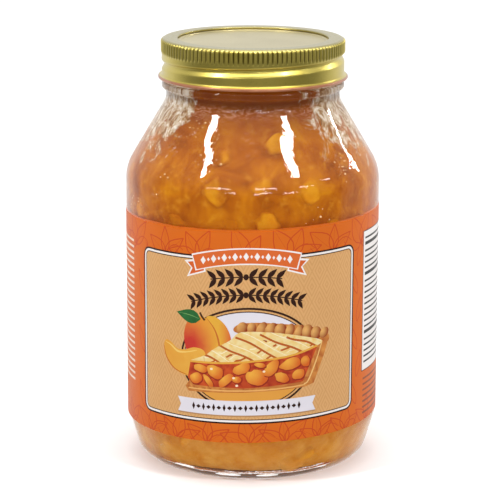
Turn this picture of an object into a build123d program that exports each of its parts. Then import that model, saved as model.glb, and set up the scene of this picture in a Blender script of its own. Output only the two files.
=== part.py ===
from build123d import *
import math
import os

os.makedirs("parts", exist_ok=True)

# Front is -Y, up is +Z, the jar stands on Z = 0. All sizes are in millimetres, angles in degrees.

# ---------------------------------------------------------------- glass jar
body_radius = 49.2            # outside of the straight body, under the label
closure_top = 164.6           # overall height over the closed lid
wall = 2.6                    # glass thickness in the body and shoulder
base_glass = 3.4              # glass thickness at the middle of the base
push_up = 2.2                 # how far the middle of the base is domed up
bearing_inset = 10.9          # from the body's side in to the ring the jar stands on
bearing_width = 4.0
heel_round = 7.5              # small arc at the foot of the heel
heel_angle = 16.2             # lean of the heel's cone from upright
heel_blend = 12.0             # arc that blends the heel into the body
shoulder_angle = 30.7         # lean of the shoulder's cone from upright
shoulder_round = 18.4         # outer arc from the body into the shoulder
waist_round = 7.9             # outer arc from the shoulder into the neck

# ---------------------------------------------------------------- neck finish
finish_radius = 33.1          # outside of the threaded neck between its threads
finish_wall = 2.9             # glass thickness there
lip_round = 0.9
waist_stand = 0.4             # how far the waist stands out from the threaded neck
waist_drop = 19.01            # from the lip down to the waist
neck_bead_stand = 2.1         # ring of glass just under the closure
neck_bead_drop = 17.01        # from the lip down to the foot of that ring
neck_bead_height = 3.2
neck_bead_round = 1.2

# ---------------------------------------------------------------- threads
thread_pitch = 6.35           # four turns to the inch, right-hand
thread_height = 1.3           # how far the glass thread stands out
glass_thread_round = 1.25
glass_thread_turns = 1.15
glass_thread_top_angle = 100.0   # where it starts, from the front toward the right
glass_thread_drop = 4.2       # from the lip down to the thread's middle at the front
band_thread_depth = 1.05      # how far the band's rolled thread stands in from its wall
band_thread_round = 1.25
band_thread_turns = 0.89
band_thread_top_angle = 110.0
thread_play = 0.10            # gap along the axis between the two threads

# ---------------------------------------------------------------- closure
band_sheet = 0.30
band_play = 0.40              # gap between the glass thread and the band's wall
band_height = 15.4
band_corner = 1.4
band_ring_width = 6.2         # top ring, from the wall in to the hole that shows the disc
hem_round = 0.42              # rolled edge round that hole
curl_round = 0.62             # rolled edge at the bottom of the skirt
curl_overhang = 0.8           # how far the curl's middle stands out from the wall
knurl_count = 120
knurl_depth = 0.42
knurl_stand = 0.36            # how far the ridges stand out from the wall
knurl_height = 4.3
disc_sheet = 0.30
disc_play = 0.05              # gap between the disc and the band's rolled edge
disc_side_play = 0.65         # gap between the disc's edge and the band's wall
panel_inset = 1.3             # from the band's hole in to the disc's lower panel
panel_step = 0.30             # how far the panel lies below the rim
disc_skirt = 0.80
seal_thickness = 0.95
seal_play = 0.05              # gap between the compound and the glass lip
seal_overlap = 0.4            # how far the compound starts outside the mouth
seal_side_play = 0.25         # gap between the compound and the disc's skirt

# ---------------------------------------------------------------- label
label_low = 17.7
label_top_gap = 10.16         # from the label's top edge up to the start of the shoulder
label_paper = 0.15
label_tilt = 1.4              # the label was glued on a little crooked, right side high
lap_angle = 9.0               # overlap of the label's two ends
lap_azimuth = 168.0           # from the front toward the right, so nearly at the back

# ---------------------------------------------------------------- contents
fill_play = 0.02              # keeps the gel just inside the glass
headspace = 11.4              # from the glass lip down to the gel
peach_size = 15.0
peach_round = 3.0
peach_row_pitch = 17.0
peach_spacing = 1.62          # middles in one ring, in piece widths
peach_floor_gap = 3.6         # least gel under the lowest row
peach_wall_gap = 2.0          # least gel between a piece of fruit and the glass


# ---------------------------------------------------------------- worked-out places
hem_low = closure_top - 2 * hem_round
disc_top = hem_low - disc_play
disc_low = disc_top - disc_sheet
lip_top = disc_low - seal_thickness - seal_play
waist_height = lip_top - waist_drop
waist_radius = finish_radius + waist_stand
mouth_radius = finish_radius - finish_wall
neck_bead_radius = finish_radius + neck_bead_stand
neck_bead_low = lip_top - neck_bead_drop
neck_bead_high = neck_bead_low + neck_bead_height
bearing_radius = body_radius - bearing_inset

glass_thread_crest = finish_radius + thread_height
band_bore = glass_thread_crest + band_play
band_radius = band_bore + band_sheet
band_low = closure_top - band_height
band_opening = band_radius - band_ring_width
disc_radius = band_bore - disc_side_play
panel_radius = band_opening - panel_inset
seal_inner = mouth_radius + seal_overlap
seal_outer = disc_radius - disc_sheet - seal_side_play

glass_thread_centre = glass_thread_crest - glass_thread_round
band_thread_centre = band_bore - band_thread_depth + band_thread_round
thread_reach_apart = band_thread_centre - glass_thread_centre
thread_rounds = glass_thread_round + band_thread_round
thread_step = math.sqrt(thread_rounds ** 2 - thread_reach_apart ** 2) + thread_play
glass_thread_front = lip_top - glass_thread_drop

floor_height = push_up + base_glass
dome_edge = bearing_radius - bearing_width
fill_top = lip_top - headspace


def cone_run(drop, first_round, second_round, angle):
    """Height taken by an arc, a cone and an opposite arc that move inward by drop."""
    lean = math.radians(angle)
    arcs = first_round + second_round
    slope = drop - arcs * (1 - math.cos(lean))
    return arcs * math.sin(lean) + slope / math.tan(lean)


shoulder_start = waist_height - cone_run(
    body_radius - waist_radius, shoulder_round, waist_round, shoulder_angle)
label_height = shoulder_start - label_top_gap - label_low


# ---------------------------------------------------------------- helpers
def turned(*curves):
    """Solid of revolution of a closed outline drawn as (radius, height)."""
    return revolve(Plane.XZ * make_face(Curve() + list(curves)), Axis.Z)


def upright_tube(inner, outer, low, high):
    height = high - low
    middle = 0.5 * (low + high)
    return Pos(0, 0, middle) * (Cylinder(outer, height) - Cylinder(inner, height + 1))


def shoulder_curves(start_radius, end_radius, outer_round, inner_round):
    """Arc, cone and arc from the straight body up to the neck, tangent all the way."""
    lean = math.radians(shoulder_angle)
    end_height = shoulder_start + cone_run(
        start_radius - end_radius, outer_round, inner_round, shoulder_angle)
    first = CenterArc((start_radius - outer_round, shoulder_start), outer_round, 0, shoulder_angle)
    second = CenterArc((end_radius + inner_round, end_height), inner_round, 180 + shoulder_angle,
                       -shoulder_angle)
    return [first, Line(first @ 1, second @ 0), second], end_height


def heel_curves(inset):
    """Foot arc, cone and blend arc from the base up to the straight body, moved inward by inset."""
    lean = math.radians(heel_angle)
    foot = CenterArc((bearing_radius, heel_round), heel_round - inset, -90, 90 - heel_angle)
    blend_round = heel_blend - inset
    radius = body_radius - inset
    cone_top = radius - blend_round * (1 - math.cos(lean))
    rise = (cone_top - (foot @ 1).X) / math.tan(lean)
    blend_height = (foot @ 1).Y + rise + blend_round * math.sin(lean)
    blend = CenterArc((radius - blend_round, blend_height), blend_round, -heel_angle, heel_angle)
    return [foot, Line(foot @ 1, blend @ 0), blend], blend_height


def dome_curve(middle, edge):
    """Shallow arc from the middle of the base down to the edge of the dome."""
    rise = middle - edge
    radius = (dome_edge ** 2 + rise ** 2) / (2 * rise)
    half = math.degrees(math.asin(dome_edge / radius))
    return CenterArc((0, middle - radius), radius, 90, -half)


def round_corner(corner, radius, start):
    """Quarter arc just inside a square corner; start is 0 top right, 90 top left, 270 bottom right."""
    away_x = -radius if start in (0, 270) else radius
    away_z = radius if start == 270 else -radius
    return CenterArc((corner[0] + away_x, corner[1] + away_z), radius, start, 90)


def right_hand_rib(centre_radius, front_height, rib_round, turns, top_angle):
    """Round rib on a rising helix with ball ends; front_height is its height at the front."""
    bottom_angle = top_angle - 360 * turns
    start_height = front_height + thread_pitch * bottom_angle / 360
    path = Helix(pitch=thread_pitch, height=thread_pitch * turns, radius=centre_radius)
    section = Plane(origin=path @ 0, z_dir=path % 0) * Circle(rib_round)
    rib = sweep(section, path=path, is_frenet=True)
    ends = Pos(*(path @ 0)) * Sphere(rib_round) + Pos(*(path @ 1)) * Sphere(rib_round)
    return Pos(0, 0, start_height) * Rot(0, 0, bottom_angle - 90) * (rib + ends)


# ---------------------------------------------------------------- glass jar
def cavity_curves(inset):
    """Inside of the glass from the floor's middle to the neck, moved inward by inset."""
    radius = body_radius - wall - inset
    neck = mouth_radius - inset
    shoulder, neck_start = shoulder_curves(
        radius, neck, shoulder_round - wall - inset, waist_round + wall + inset)
    heel, heel_top = heel_curves(wall + inset)
    edge = wall + inset
    curves = [
        dome_curve(floor_height + inset, edge),
        Line((dome_edge, edge), (bearing_radius, edge)),
        *heel,
        Line((radius, heel_top), (radius, shoulder_start))]
    return curves + shoulder, neck, neck_start


def make_glass_jar():
    heel, heel_top = heel_curves(0)
    shoulder, waist = shoulder_curves(body_radius, waist_radius, shoulder_round, waist_round)
    bead_corner = neck_bead_radius - neck_bead_round
    outside = [
        dome_curve(push_up, 0),
        Line((dome_edge, 0), (bearing_radius, 0)),
        *heel,
        Line((body_radius, heel_top), (body_radius, shoulder_start)),
        *shoulder,
        Polyline((waist_radius, waist), (waist_radius, neck_bead_low), (bead_corner, neck_bead_low)),
        round_corner((neck_bead_radius, neck_bead_low), neck_bead_round, 270),
        Line((neck_bead_radius, neck_bead_low + neck_bead_round),
             (neck_bead_radius, neck_bead_high - neck_bead_round)),
        round_corner((neck_bead_radius, neck_bead_high), neck_bead_round, 0),
        Polyline((bead_corner, neck_bead_high), (finish_radius, neck_bead_high),
                 (finish_radius, lip_top - lip_round)),
        round_corner((finish_radius, lip_top), lip_round, 0),
        Line((finish_radius - lip_round, lip_top), (mouth_radius + lip_round, lip_top)),
        round_corner((mouth_radius, lip_top), lip_round, 90)]
    inside, neck, neck_start = cavity_curves(0)
    glass = turned(
        *outside,
        Line((neck, lip_top - lip_round), (neck, neck_start)),
        *inside,
        Line((0, floor_height), (0, push_up)))
    thread = right_hand_rib(glass_thread_centre, glass_thread_front, glass_thread_round,
                            glass_thread_turns, glass_thread_top_angle)
    return glass + thread


# ---------------------------------------------------------------- contents
def room_at(height):
    """Inside radius of the glass at this height, on the safe side at the arcs."""
    heel_slope = math.tan(math.radians(heel_angle))
    above = max(0.0, height - shoulder_start) * math.tan(math.radians(shoulder_angle))
    heel_top = heel_round + (bearing_inset - heel_round) / heel_slope
    below = max(0.0, heel_top - height) * heel_slope
    return body_radius - wall - above - below


def peach_places():
    """Middle and turn of every piece of fruit, in staggered rings up the jar."""
    half_diagonal = peach_size / math.sqrt(2)
    lowest = floor_height + peach_floor_gap + 0.5 * peach_size
    rows = 1 + int((waist_height - peach_size - lowest) / peach_row_pitch)
    for row in range(rows):
        height = lowest + row * peach_row_pitch
        room = min(room_at(height + 0.5 * peach_size), room_at(height - 0.5 * peach_size))
        reach = room - peach_wall_gap - half_diagonal
        count = int(2 * math.pi * reach / (peach_size * peach_spacing))
        for index in range(count):
            azimuth = 360 * (index + 0.5 * (row % 2)) / count
            yield reach, azimuth, height, 37 * index + 23 * row
        if reach > 1.95 * peach_size:
            for index in range(3):
                yield peach_size * 0.90, 120 * index + 60 * (row % 2), height, 51 * index


def make_peach_pieces():
    pieces = []
    for reach, azimuth, height, spin in peach_places():
        dice = fillet(Box(peach_size, peach_size, peach_size).edges(), peach_round)
        pieces.append(Rot(0, 0, azimuth) * (Pos(reach, 0, height) * (Rot(0, 0, spin) * dice)))
    return pieces


def make_filling(pieces):
    inside, neck, neck_start = cavity_curves(fill_play)
    gel = turned(
        *inside,
        Polyline((neck, neck_start), (neck, fill_top), (0, fill_top), (0, floor_height + fill_play)))
    return gel - pieces


# ---------------------------------------------------------------- label
def make_label():
    tall = label_height + 4 * body_radius * math.sin(math.radians(label_tilt))
    middle = label_low + 0.5 * label_height
    outer = body_radius + label_paper
    skin = upright_tube(body_radius, outer, middle - 0.5 * tall, middle + 0.5 * tall)
    lap_outer = outer + label_paper
    lap = upright_tube(outer - 0.5 * label_paper, lap_outer, middle - 0.5 * tall, middle + 0.5 * tall)
    reach = 2 * lap_outer
    half = math.radians(0.5 * lap_angle)
    wedge = make_face(Polyline(
        (0, 0), (reach * math.cos(half), -reach * math.sin(half)),
        (reach * math.cos(half), reach * math.sin(half)), close=True))
    sector = Pos(0, 0, middle - tall) * extrude(wedge, amount=2 * tall)
    lap = lap & (Rot(0, 0, lap_azimuth - 90) * sector)
    slab = Pos(0, 0, middle) * (Rot(0, -label_tilt, 0) * Box(6 * outer, 6 * outer, label_height))
    return (skin + lap) & slab


# ---------------------------------------------------------------- closure
def make_lid_disc():
    panel_top = disc_top - panel_step
    skirt_inner = disc_radius - disc_sheet
    riser = panel_radius + disc_sheet
    return turned(Polyline(
        (0, panel_top), (panel_radius, panel_top), (panel_radius, disc_top), (disc_radius, disc_top),
        (disc_radius, disc_top - disc_skirt), (skirt_inner, disc_top - disc_skirt),
        (skirt_inner, disc_low), (riser, disc_low), (riser, panel_top - disc_sheet),
        (0, panel_top - disc_sheet), close=True))


def make_sealing_ring():
    seal = upright_tube(seal_inner, seal_outer, lip_top + seal_play, disc_low)
    lower = seal.faces().sort_by(Axis.Z)[0].edges()
    return fillet(lower, 0.35 * seal_thickness)


def make_knurl():
    """Ring of upright round ridges that meet in sharp valleys."""
    valley = band_radius + knurl_stand - knurl_depth
    crest = band_radius + knurl_stand
    step = 2 * math.pi / knurl_count

    def at(radius, turn):
        return (radius * math.cos(turn), radius * math.sin(turn))

    ridges = [
        ThreePointArc(at(valley, index * step), at(crest, (index + 0.5) * step),
                      at(valley, (index + 1) * step))
        for index in range(knurl_count)]
    outline = make_face(Curve() + ridges)
    knurl = extrude(outline, amount=knurl_height)
    bore = band_radius - 0.5 * band_sheet
    knurl = knurl - Pos(0, 0, 0.5 * knurl_height) * Cylinder(bore, knurl_height + 1)
    return Pos(0, 0, closure_top - band_corner - knurl_height) * knurl


def make_screw_band():
    flat = band_radius - band_corner
    corner_low = closure_top - band_corner
    hem_middle = band_opening + hem_round
    curl_middle = band_radius + curl_overhang
    curl_height = band_low + curl_round
    under = closure_top - band_sheet
    shell = turned(
        Line((band_bore, curl_height), (band_bore, corner_low)),
        CenterArc((flat, corner_low), band_corner - band_sheet, 0, 90),
        Polyline((flat, under), (hem_middle, under), (hem_middle, closure_top), (flat, closure_top)),
        CenterArc((flat, corner_low), band_corner, 0, 90),
        Polyline((band_radius, corner_low), (band_radius, curl_height - curl_round),
                 (band_bore, curl_height - curl_round), (band_bore, curl_height)))
    hem = Pos(0, 0, closure_top - hem_round) * Torus(hem_middle, hem_round)
    curl = Pos(0, 0, curl_height) * Torus(curl_middle, curl_round)
    web = upright_tube(band_radius - 0.5 * band_sheet, curl_middle, band_low + 0.5 * curl_round,
                       curl_height + 0.5 * curl_round)
    band_front = glass_thread_front - thread_step
    rib = right_hand_rib(band_thread_centre, band_front, band_thread_round,
                         band_thread_turns, band_thread_top_angle)
    groove = right_hand_rib(band_thread_centre, band_front, band_thread_round - band_sheet,
                            band_thread_turns, band_thread_top_angle)
    inside = Pos(0, 0, 0.5 * (band_low + closure_top)) * Cylinder(
        band_radius - 0.5 * band_sheet, band_height)
    return shell + hem + curl + web + (rib & inside) - groove + make_knurl()


# ---------------------------------------------------------------- build
peach = make_peach_pieces()
nodes = {
    "glass_jar": make_glass_jar(),
    "filling": make_filling(peach),
    "peach_pieces": Compound(children=peach),
    "label": make_label(),
    "lid_disc": make_lid_disc(),
    "sealing_ring": make_sealing_ring(),
    "screw_band": make_screw_band()}

for name, solid in nodes.items():
    export_step(solid, "parts/" + name + ".step")
    box = solid.bounding_box()
    print(name, len(solid.solids()), "solid", round(solid.volume, 1), "mm3",
          [round(value, 2) for value in (*box.min, *box.max)])
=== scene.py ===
import bpy
import bmesh
import functools
import math
import random
import numpy as np
from mathutils import Matrix, Vector, geometry, noise


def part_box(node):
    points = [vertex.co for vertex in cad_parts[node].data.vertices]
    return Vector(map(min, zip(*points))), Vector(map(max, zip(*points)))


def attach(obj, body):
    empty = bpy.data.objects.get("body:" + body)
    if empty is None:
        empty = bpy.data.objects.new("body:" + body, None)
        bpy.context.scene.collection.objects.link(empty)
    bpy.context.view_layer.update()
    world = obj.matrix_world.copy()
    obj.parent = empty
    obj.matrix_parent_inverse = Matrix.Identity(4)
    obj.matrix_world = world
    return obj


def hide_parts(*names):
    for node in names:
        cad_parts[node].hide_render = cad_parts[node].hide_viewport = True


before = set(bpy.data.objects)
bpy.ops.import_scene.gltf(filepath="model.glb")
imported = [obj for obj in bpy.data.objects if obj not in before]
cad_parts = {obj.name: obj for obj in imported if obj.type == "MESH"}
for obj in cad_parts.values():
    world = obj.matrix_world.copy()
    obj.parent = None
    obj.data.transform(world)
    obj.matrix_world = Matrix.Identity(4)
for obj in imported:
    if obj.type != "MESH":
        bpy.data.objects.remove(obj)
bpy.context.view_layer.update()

MM = 0.001


def high_corner(name):
    """Highest corner of a CAD node's box in millimetres; a round node's first value is its radius."""
    return [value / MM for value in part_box(name)[1]]


# ---------------------------------------------------------------- sizes from the frame, mm
jar, band, disc, fill = (high_corner(name) for name in ("glass_jar", "screw_band", "lid_disc", "filling"))

BODY, LIP = jar[0], jar[2]          # outside radius of the body, height of the glass lip
WALL = BODY - fill[0] - 0.02
FILL_TOP = fill[2]
CURL, TOP = band[0], band[2]        # outermost radius of the band's curl, height over the closure
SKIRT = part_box("screw_band")[0][2] / MM     # lowest point of the band
DISC, DISC_TOP = disc[0], disc[2]

# the rest of the jar's form, as it was modelled
BEARING, BEARING_WIDTH, PUSH_UP, BASE_GLASS = 38.3, 4.0, 2.2, 3.4
HEEL_ROUND, HEEL_ANGLE, HEEL_BLEND = 7.5, 16.2, 12.0
SHOULDER_ANGLE, SHOULDER_ROUND, WAIST_ROUND = 30.7, 18.4, 7.9
WAIST, WAIST_HEIGHT = 33.5, 143.4
MOUTH, FINISH, LIP_ROUND = 30.2, 33.1, 0.9
BEAD, BEAD_LOW, BEAD_HEIGHT, BEAD_ROUND = 35.2, 145.4, 3.2, 1.2
PITCH = 6.35
THREAD_CREST, THREAD_ROUND, THREAD_TURNS, THREAD_TOP_ANGLE = 34.4, 1.25, 1.15, 100.0
THREAD_FRONT = LIP - 4.2
BAND, SHEET, BAND_CORNER, BAND_OPENING = 35.1, 0.30, 1.4, 28.9
HEM, CURL_ROUND = 0.42, 0.62
GROOVE_REACH, GROOVE_ROUND, GROOVE_TURNS, GROOVE_TOP_ANGLE = 33.75, 1.25, 0.89, 110.0
THREAD_PLAY, RIB_FADE = 0.10, 5.0   # RIB_FADE: degrees over which a rolled rib runs out
# reach of the rolled groove above and below its middle, and its depth
GROOVE_OUTSIDE, GROOVE_INSIDE = (1.55, 2.35, 1.0), (1.7, 1.7, 1.05)
BAND_SEGMENTS = 960
KNURLS, KNURL_DEPTH, KNURL_STAND, KNURL_HEIGHT = 120, 0.42, 0.36, 4.3
PANEL, PANEL_STEP, DISC_SHEET, DISC_SKIRT = 27.6, 0.30, 0.30, 0.80
PAPER = 0.10
LABEL_LOW, LABEL_HEIGHT, LABEL_TILT = 17.7, 81.9, math.radians(1.4)
LAP_ANGLE, LAP_AZIMUTH = 9.0, 168.0
DIAMOND_WIDE, DIAMOND_TALL, DIAMOND_RINGS = 6.6, 11.8, 2.5


# ---------------------------------------------------------------- mesh helpers
def clamp(value, low=0.0, high=1.0):
    return max(low, min(high, value))


def ease(share):
    """Smooth step from 0 to 1."""
    share = clamp(share)
    return share * share * (3 - 2 * share)


def arc(centre, radius, start, size, steps):
    """Points of an arc in the (radius, height) plane, end points included; angles in degrees."""
    points = []
    for index in range(steps + 1):
        turn = math.radians(start + size * index / steps)
        points.append((centre[0] + radius * math.cos(turn), centre[1] + radius * math.sin(turn)))
    return points


def along(first, second, steps):
    """Evenly spaced points from first up to but without second."""
    return [
        (first[0] + (second[0] - first[0]) * i / steps, first[1] + (second[1] - first[1]) * i / steps)
        for i in range(steps)]


def put(name, data):
    """New object in the scene's own collection."""
    thing = bpy.data.objects.new(name, data)
    bpy.context.scene.collection.objects.link(thing)
    return thing


def new_object(name, vertices, faces, material, sharp_angle=35):
    """Smooth-shaded object from points in millimetres."""
    mesh = bpy.data.meshes.new(name)
    mesh.from_pydata([(x * MM, y * MM, z * MM) for x, y, z in vertices], [], faces)
    mesh.validate()
    for polygon in mesh.polygons:
        polygon.use_smooth = True
    mesh.set_sharp_from_angle(angle=math.radians(sharp_angle))
    mesh.materials.append(material)
    return put(name, mesh)


def add_values(piece, name, values, kind="FLOAT", domain="POINT", field="value"):
    """Stores values on the mesh for its material to read."""
    piece.data.attributes.new(name, kind, domain).data.foreach_set(field, values)


def add_ball(vertices, faces, subdivisions, place):
    """Adds an icosphere of radius 1 to the lists; place moves each of its points."""
    ball = bmesh.new()
    bmesh.ops.create_icosphere(ball, subdivisions=subdivisions, radius=1.0)
    start = len(vertices)
    vertices.extend(place(vertex.co) for vertex in ball.verts)
    faces.extend([start + vertex.index for vertex in face.verts] for face in ball.faces)
    ball.free()


def polar(radius, azimuth, height):
    """A point from its radius, its azimuth in radians from the front toward the right, and its height."""
    return (radius * math.sin(azimuth), -radius * math.cos(azimuth), height)


def lathe(name, outline, material, segments=192, closed=False, shape=None, sharp_angle=35):
    """Turns an outline of (radius, height) about Z; shape may move the point of each azimuth and row."""
    vertices, rows = [], []
    for row, (radius, height) in enumerate(outline):
        if radius < 1e-6:
            rows.append([len(vertices)] * segments)
            vertices.append((0, 0, height))
            continue
        start = len(vertices)
        rows.append(list(range(start, start + segments)))
        for index in range(segments):
            azimuth = 2 * math.pi * index / segments
            r, z = shape(radius, height, azimuth, row) if shape else (radius, height)
            vertices.append(polar(r, azimuth, z))
    faces = []
    count = len(rows) if closed else len(rows) - 1
    for row in range(count):
        lower, upper = rows[row], rows[(row + 1) % len(rows)]
        for index in range(segments):
            after = (index + 1) % segments
            face = list(dict.fromkeys((lower[index], lower[after], upper[after], upper[index])))
            if len(face) > 2:
                faces.append(face)
    return new_object(name, vertices, faces, material, sharp_angle)


def helix_lift(azimuth, front_height, turns, top_angle):
    """Heights of a rising rib's middle at this azimuth, lowest turn first, each with its size from 0 to 1."""
    bottom_angle = top_angle - 360 * turns
    degrees = math.degrees(azimuth)
    heights = []
    for turn in (-2, -1, 0, 1):
        angle = degrees + 360 * turn
        past = max(0.0, bottom_angle - angle, angle - top_angle)
        if past < RIB_FADE:
            heights.append((front_height + PITCH * angle / 360, math.sqrt(1 - past / RIB_FADE)))
    return heights


# ---------------------------------------------------------------- outlines
def cone_run(drop, first_round, second_round):
    lean = math.radians(SHOULDER_ANGLE)
    arcs = first_round + second_round
    return arcs * math.sin(lean) + (drop - arcs * (1 - math.cos(lean))) / math.tan(lean)


SHOULDER_START = WAIST_HEIGHT - cone_run(BODY - WAIST, SHOULDER_ROUND, WAIST_ROUND)


def shoulder_outline(start_radius, end_radius, outer_round, inner_round, steps=20):
    end_height = SHOULDER_START + cone_run(start_radius - end_radius, outer_round, inner_round)
    first = arc((start_radius - outer_round, SHOULDER_START), outer_round, 0, SHOULDER_ANGLE, steps)
    second = arc((end_radius + inner_round, end_height), inner_round,
                 180 + SHOULDER_ANGLE, -SHOULDER_ANGLE, steps)
    return first[:-1] + along(first[-1], second[0], 12) + second


def heel_outline(inset=0.0):
    """Foot arc, cone and blend arc from the base up to the straight body, moved inward by inset."""
    lean = math.radians(HEEL_ANGLE)
    foot = arc((BEARING, HEEL_ROUND), HEEL_ROUND - inset, -90, 90 - HEEL_ANGLE, 20)
    blend_round = HEEL_BLEND - inset
    radius = BODY - inset
    cone_top = radius - blend_round * (1 - math.cos(lean))
    height = foot[-1][1] + (cone_top - foot[-1][0]) / math.tan(lean) + blend_round * math.sin(lean)
    blend = arc((radius - blend_round, height), blend_round, -HEEL_ANGLE, HEEL_ANGLE, 10)
    return foot[:-1] + along(foot[-1], blend[0], 8) + blend


def base_outline(middle=PUSH_UP, low=0.0):
    """Domed middle of the base and the flat ring round it, from the axis outward."""
    edge = BEARING - BEARING_WIDTH
    rise = middle - low
    radius = (edge ** 2 + rise ** 2) / (2 * rise)
    half = math.degrees(math.asin(edge / radius))
    dome = arc((0, middle - radius), radius, 90, -half, 16)
    return [(0, middle)] + dome[1:] + along((edge, low), (BEARING, low), 4)[1:]


def neck_outside():
    bead_top = BEAD_LOW + BEAD_HEIGHT
    corner = BEAD - BEAD_ROUND
    fillet = 0.5
    points = [(WAIST, WAIST_HEIGHT + 0.6)]
    points += arc((WAIST + fillet, BEAD_LOW - fillet), fillet, 180, -90, 5)
    points += arc((corner, BEAD_LOW + BEAD_ROUND), BEAD_ROUND, -90, 90, 10)
    points += arc((corner, bead_top - BEAD_ROUND), BEAD_ROUND, 0, 90, 10)
    points += arc((FINISH + fillet, bead_top + fillet), fillet, -90, -90, 5)
    points += along((FINISH, bead_top + 0.8), (FINISH, LIP - LIP_ROUND), 48)
    points += arc((FINISH - LIP_ROUND, LIP - LIP_ROUND), LIP_ROUND, 0, 90, 8)
    points += arc((MOUTH + LIP_ROUND, LIP - LIP_ROUND), LIP_ROUND, 90, 90, 8)
    return points


def inside_outline(inset):
    """Inside of the glass from the floor's middle up to the neck, moved inward by inset."""
    radius = BODY - WALL - inset
    neck = MOUTH - inset
    points = base_outline(PUSH_UP + BASE_GLASS + inset, WALL + inset)
    points += heel_outline(WALL + inset)
    points += along(points[-1], (radius, SHOULDER_START), 60)[1:]
    points += shoulder_outline(radius, neck, SHOULDER_ROUND - WALL - inset, WAIST_ROUND + WALL + inset, 12)
    return points


# ---------------------------------------------------------------- material helpers
def srgb(code):
    """Linear colour from a hexadecimal screen colour."""
    def channel(pair):
        value = int(pair, 16) / 255
        return value / 12.92 if value <= 0.04045 else ((value + 0.055) / 1.055) ** 2.4
    return (channel(code[0:2]), channel(code[2:4]), channel(code[4:6]), 1.0)


def tone(colour):
    """A linear colour as it is, or from its hexadecimal code."""
    return srgb(colour) if isinstance(colour, str) else colour


class Nodes:
    """A node tree with short ways to add to it."""

    def __init__(self, tree):
        self.tree = tree

    def node(self, kind, inputs=None, **settings):
        node = self.tree.nodes.new(kind)
        for name, value in settings.items():
            setattr(node, name, value)
        for name, value in (inputs or {}).items():
            if isinstance(value, bpy.types.NodeSocket):
                self.tree.links.new(value, node.inputs[name])
            else:
                node.inputs[name].default_value = tone(value)
        return node

    def mix(self, factor, first, second, blend="MIX"):
        return self.node("ShaderNodeMix", {0: factor, 6: first, 7: second}, data_type="RGBA",
                         blend_type=blend).outputs[2]

    def math(self, operation, first, second=0.0, third=0.0):
        return self.node("ShaderNodeMath", {0: first, 1: second, 2: third}, operation=operation).outputs[0]

    def span(self, value, from_low, from_high, to_low=0.0, to_high=1.0):
        return self.node("ShaderNodeMapRange", {
            "Value": value, "From Min": from_low, "From Max": from_high,
            "To Min": to_low, "To Max": to_high}).outputs[0]

    def ramp(self, factor, *stops):
        node = self.node("ShaderNodeValToRGB", {"Fac": factor})
        band = node.color_ramp
        while len(band.elements) < len(stops):
            band.elements.new(0.5)
        for element, (where, colour) in zip(band.elements, stops):
            element.position = where
            element.color = tone(colour)
        return node.outputs["Color"]

    def parts(self, vector):
        return self.node("ShaderNodeSeparateXYZ", {0: vector}).outputs


class Material(Nodes):
    """A Principled material."""

    def __init__(self, name):
        self.data = bpy.data.materials.new(name)
        self.data.use_nodes = True
        super().__init__(self.data.node_tree)
        self.shader = self.tree.nodes["Principled BSDF"]

    def set(self, **values):
        for name, value in values.items():
            self.shader.inputs[name.replace("_", " ")].default_value = value
        return self

    def link(self, socket, name):
        self.tree.links.new(socket, self.shader.inputs[name])
        return self

    def place(self, *scale):
        """Object coordinates in metres, scaled where a scale is given."""
        place = self.node("ShaderNodeTexCoord").outputs["Object"]
        if scale:
            place = self.node("ShaderNodeMapping", {"Vector": place, "Scale": scale}).outputs[0]
        return place

    def noise(self, scale, detail=3, rough=0.5, distortion=0.0, where=None):
        return self.node("ShaderNodeTexNoise", {
            "Vector": where or self.place(), "Scale": scale, "Detail": detail, "Roughness": rough,
            "Distortion": distortion}).outputs["Fac"]

    def bump(self, height, strength, distance):
        node = self.node("ShaderNodeBump", {"Height": height, "Strength": strength, "Distance": distance})
        self.link(node.outputs[0], "Normal")

    def attribute(self, name, output="Fac"):
        return self.node("ShaderNodeAttribute", attribute_name=name).outputs[output]


def mottled(name, scale, first, second, detail=2, stops=(0.3, 0.7), **values):
    """A material that drifts between two tones, with these values on its shader."""
    mat = Material(name).set(**values)
    cloud = mat.noise(scale, detail=detail)
    return mat.link(mat.ramp(cloud, (stops[0], first), (stops[1], second)), "Base Color")


# ---------------------------------------------------------------- materials
def glass_material():
    """Clear soda-lime glass with the slow waves of a moulded wall and a finer ripple."""
    glass = Material("clear_glass")
    glass.set(Base_Color=(0.985, 0.992, 0.985, 1), Transmission_Weight=1.0, IOR=1.5, Roughness=0.0)
    waves = glass.noise(70.0, detail=1, rough=0.4, where=glass.place(1.0, 1.0, 0.55))
    ripple = glass.noise(520.0, detail=2, rough=0.5)
    glass.bump(glass.math("MULTIPLY_ADD", ripple, 0.06, waves), 0.85, 0.001)
    return glass.data


def gel_colours(mat):
    """Amber gel: clouds from red-brown to gold, pale crumbs, painted shade under the lid, yellow low down."""
    clouds = mat.noise(85.0, detail=6, rough=0.62, distortion=0.5)
    crumbs = mat.noise(260.0, detail=5, rough=0.7)
    base = mat.ramp(clouds, (0.30, "843F02"), (0.45, "A25503"), (0.60, "B56904"), (0.76, "C6820A"))
    speckled = mat.mix(mat.span(crumbs, 0.54, 0.72, 0.0, 0.50), base, "D39226")
    height = mat.parts(mat.place())[2]
    # painted shade: the gel darkens toward 7C360A in the heights up under the lid
    shade_under_lid = mat.mix(mat.span(height, 0.126, 0.143, 0.0, 0.80), speckled, "7C360A")
    low = mat.math("MULTIPLY_ADD", mat.math("SUBTRACT", clouds, 0.5), 0.05, height)
    pale = mat.ramp(mat.noise(150.0, detail=4, rough=0.6), (0.35, "C87E0C"), (0.62, "DA9E40"))
    return mat.mix(mat.span(low, 0.036, 0.008, 0.0, 0.80), shade_under_lid, pale)


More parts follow.
